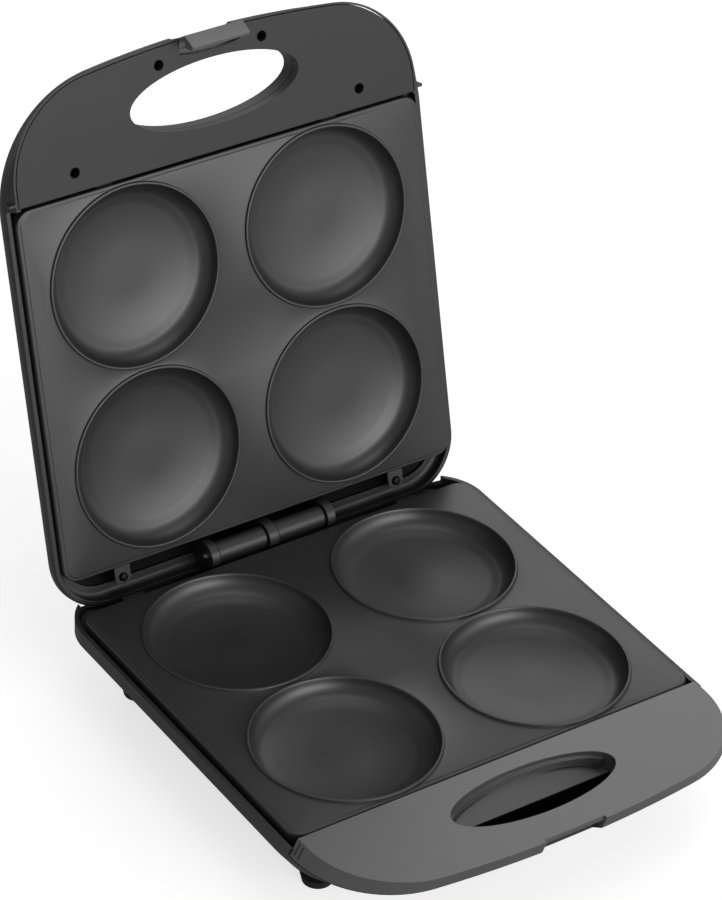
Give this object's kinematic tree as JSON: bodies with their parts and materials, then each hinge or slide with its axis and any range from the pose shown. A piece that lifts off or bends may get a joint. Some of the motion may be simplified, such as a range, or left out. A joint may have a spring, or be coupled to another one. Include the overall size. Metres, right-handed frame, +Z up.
{
  "type": "electric pie maker",
  "caption": "Countertop pie maker with round cups in both plates, hinged lid with a hand hole, latch clip and bowed handle; stands open.",
  "frame": {"origin": "on the table, under the middle of the open machine", "axes": "+X to the right as the user faces it, -Y towards the user and the handle, +Z up"},
  "size_m": [0.2592, 0.3862, 0.3367],
  "materials": {
    "shell_plastic": "fine satin moulded plastic, black-grey",
    "handle_plastic": "fine satin moulded plastic, dark grey",
    "nonstick_plate": "cast aluminium with a dark non-stick coating, satin",
    "foot_rubber": "moulded rubber, matte",
    "heater_tube": "drawn steel tube, dulled by heat",
    "clamp_steel": "plated sheet steel",
    "screw_steel": "zinc plated steel",
    "screw_black": "blackened steel, oiled",
    "reflector_sheet": "thin bright sheet",
    "switch_steel": "plated steel can and blades",
    "fuse_sleeve": "woven glass fibre sleeve over the fuse",
    "terminal_nylon": "natural nylon",
    "lead_sleeving": "woven glass fibre sleeving",
    "gland_rubber": "moulded rubber",
    "pin_steel": "ground steel rod",
    "red_lens": "clear red polycarbonate",
    "green_lens": "clear green polycarbonate",
    "lamp_glass": "small neon lamps, clear glass",
    "latch_plastic": "satin moulded plastic, dark grey"
  },
  "bodies": {
    "base": {"base_shell": "shell_plastic", "base_handle_panel": "handle_plastic", "base_plate": "nonstick_plate", "base_feet": "foot_rubber", "base_heater": "heater_tube", "base_heater_clamps": "clamp_steel", "base_heater_screws": "screw_steel", "base_reflector": "reflector_sheet", "base_plate_screws": "screw_black", "base_panel_screws": "screw_black", "thermostat": "switch_steel", "thermostat_screws": "screw_steel", "thermal_fuse": "fuse_sleeve", "terminal_block": "terminal_nylon", "base_leads": "lead_sleeving", "cord_gland": "gland_rubber", "hinge_pin": "pin_steel"},
    "lid": {"lid_shell": "shell_plastic", "lid_handle_panel": "handle_plastic", "lid_plate": "nonstick_plate", "lid_heater": "heater_tube", "lid_heater_clamps": "clamp_steel", "lid_heater_screws": "screw_steel", "lid_reflector": "reflector_sheet", "lid_plate_screws": "screw_black", "lid_panel_screws": "screw_black", "power_lens": "red_lens", "ready_lens": "green_lens", "lamps": "lamp_glass", "lid_leads": "lead_sleeving", "latch_pin": "pin_steel"},
    "latch": {"latch_clip": "latch_plastic"}
  },
  "joints": [
    {"name": "lid_hinge", "type": "hinge", "parent": "base", "child": "lid", "pos_m": [0, 0.0978, 0.05145], "axis": [1, 0, 0], "range_deg": [0, 104.3]},
    {"name": "latch_swing", "type": "hinge", "parent": "lid", "child": "latch", "pos_m": [0, 0.17416, 0.32693], "axis": [-1, 0, 0], "range_deg": [0, 25]}
  ]
}
